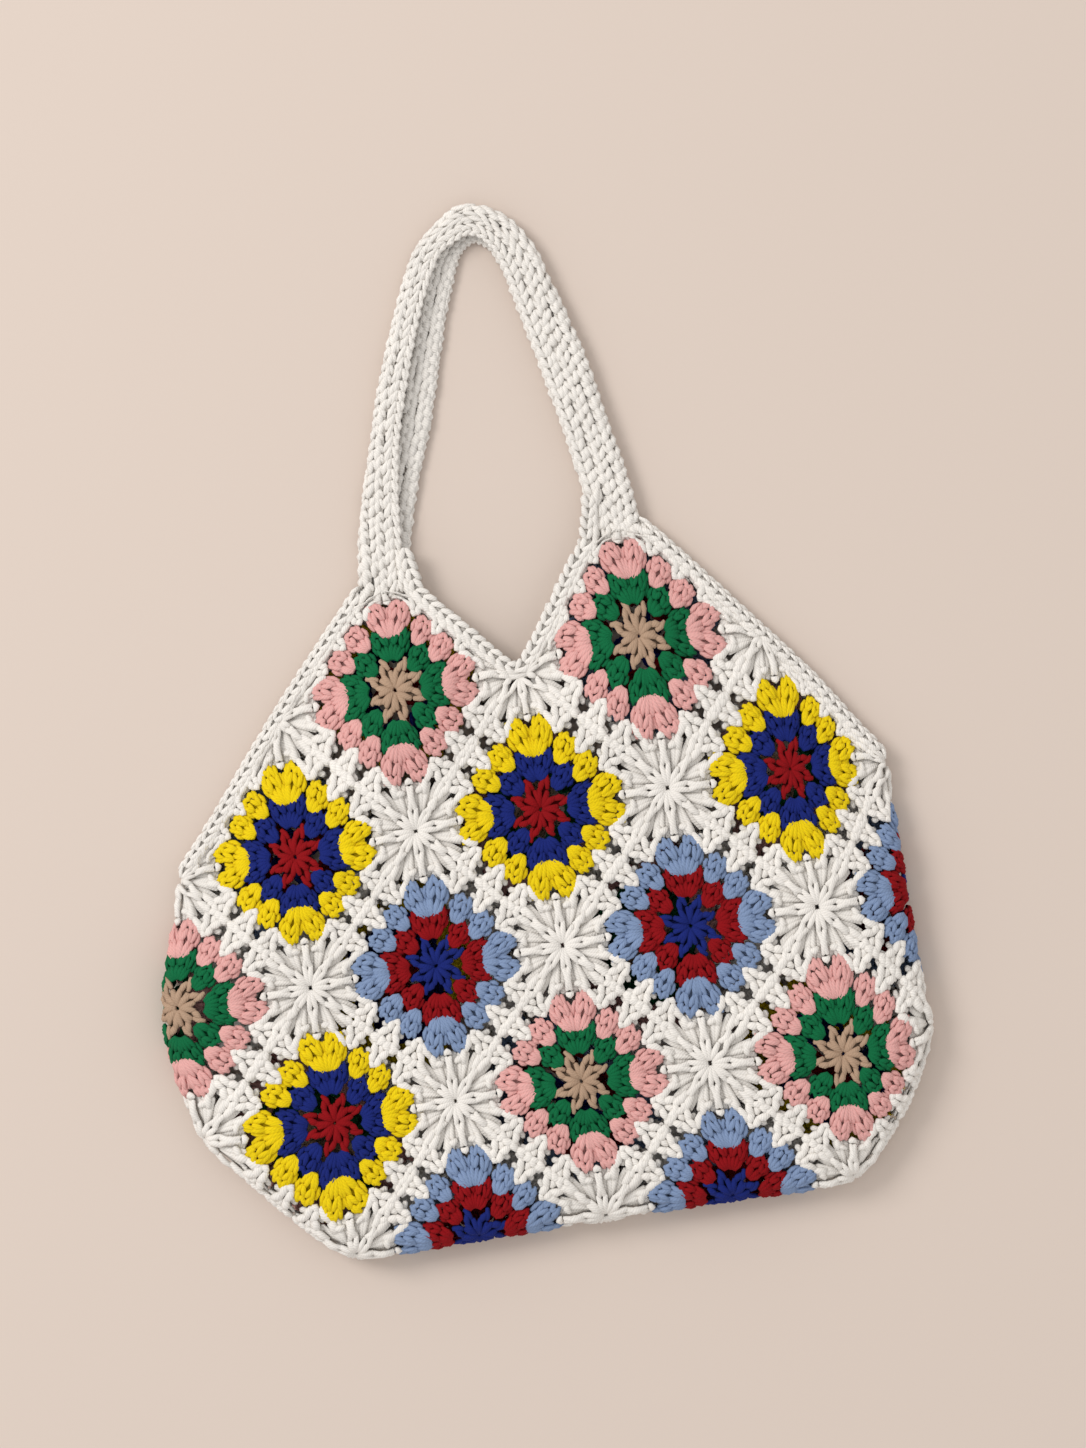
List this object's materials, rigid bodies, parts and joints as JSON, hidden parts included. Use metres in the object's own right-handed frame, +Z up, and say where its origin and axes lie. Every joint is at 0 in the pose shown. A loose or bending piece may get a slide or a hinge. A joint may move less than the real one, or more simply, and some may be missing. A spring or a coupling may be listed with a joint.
{
  "type": "crochet bag",
  "caption": "Flat shoulder bag joined from crocheted granny squares, open between two peaks at the top and carried by one folded crocheted strap",
  "frame": {"origin": "On the underside of the bag, below the middle of the front's centre square, on the plane it lies on", "axes": "+X to the right of the front, +Y from the bottom of the bag towards the strap, +Z up out of the front as the bag lies on its back"},
  "size_m": [0.381, 0.5168, 0.0279],
  "materials": {
    "front_peak_left_yarn": "matte cotton yarn",
    "front_peak_right_yarn": "matte cotton yarn",
    "front_upper_left_yarn": "matte cotton yarn",
    "front_upper_centre_yarn": "matte cotton yarn",
    "front_upper_right_yarn": "matte cotton yarn",
    "front_middle_left_yarn": "matte cotton yarn",
    "front_middle_right_yarn": "matte cotton yarn",
    "front_lower_left_yarn": "matte cotton yarn",
    "front_lower_centre_yarn": "matte cotton yarn",
    "front_lower_right_yarn": "matte cotton yarn",
    "back_peak_left_yarn": "matte cotton yarn",
    "back_peak_right_yarn": "matte cotton yarn",
    "back_upper_left_yarn": "matte cotton yarn",
    "back_upper_centre_yarn": "matte cotton yarn",
    "back_upper_right_yarn": "matte cotton yarn",
    "back_middle_left_yarn": "matte cotton yarn",
    "back_middle_right_yarn": "matte cotton yarn",
    "back_lower_left_yarn": "matte cotton yarn",
    "back_lower_centre_yarn": "matte cotton yarn",
    "back_lower_right_yarn": "matte cotton yarn",
    "side_left_yarn": "matte cotton yarn",
    "side_right_yarn": "matte cotton yarn",
    "bottom_left_yarn": "matte cotton yarn",
    "bottom_right_yarn": "matte cotton yarn",
    "mouth_edging_front_yarn": "matte cotton yarn",
    "mouth_edging_back_yarn": "matte cotton yarn",
    "seam_edging_left_yarn": "matte cotton yarn",
    "seam_edging_right_yarn": "matte cotton yarn",
    "strap_yarn": "matte cotton yarn"
  },
  "bodies": {
    "root": {"front_peak_left": "front_peak_left_yarn", "front_peak_right": "front_peak_right_yarn", "front_upper_left": "front_upper_left_yarn", "front_upper_centre": "front_upper_centre_yarn", "front_upper_right": "front_upper_right_yarn", "front_middle_left": "front_middle_left_yarn", "front_middle_right": "front_middle_right_yarn", "front_lower_left": "front_lower_left_yarn", "front_lower_centre": "front_lower_centre_yarn", "front_lower_right": "front_lower_right_yarn", "back_peak_left": "back_peak_left_yarn", "back_peak_right": "back_peak_right_yarn", "back_upper_left": "back_upper_left_yarn", "back_upper_centre": "back_upper_centre_yarn", "back_upper_right": "back_upper_right_yarn", "back_middle_left": "back_middle_left_yarn", "back_middle_right": "back_middle_right_yarn", "back_lower_left": "back_lower_left_yarn", "back_lower_centre": "back_lower_centre_yarn", "back_lower_right": "back_lower_right_yarn", "side_left": "side_left_yarn", "side_right": "side_right_yarn", "bottom_left": "bottom_left_yarn", "bottom_right": "bottom_right_yarn", "mouth_edging_front": "mouth_edging_front_yarn", "mouth_edging_back": "mouth_edging_back_yarn", "seam_edging_left": "seam_edging_left_yarn", "seam_edging_right": "seam_edging_right_yarn", "strap": "strap_yarn"}
  },
  "joints": []
}
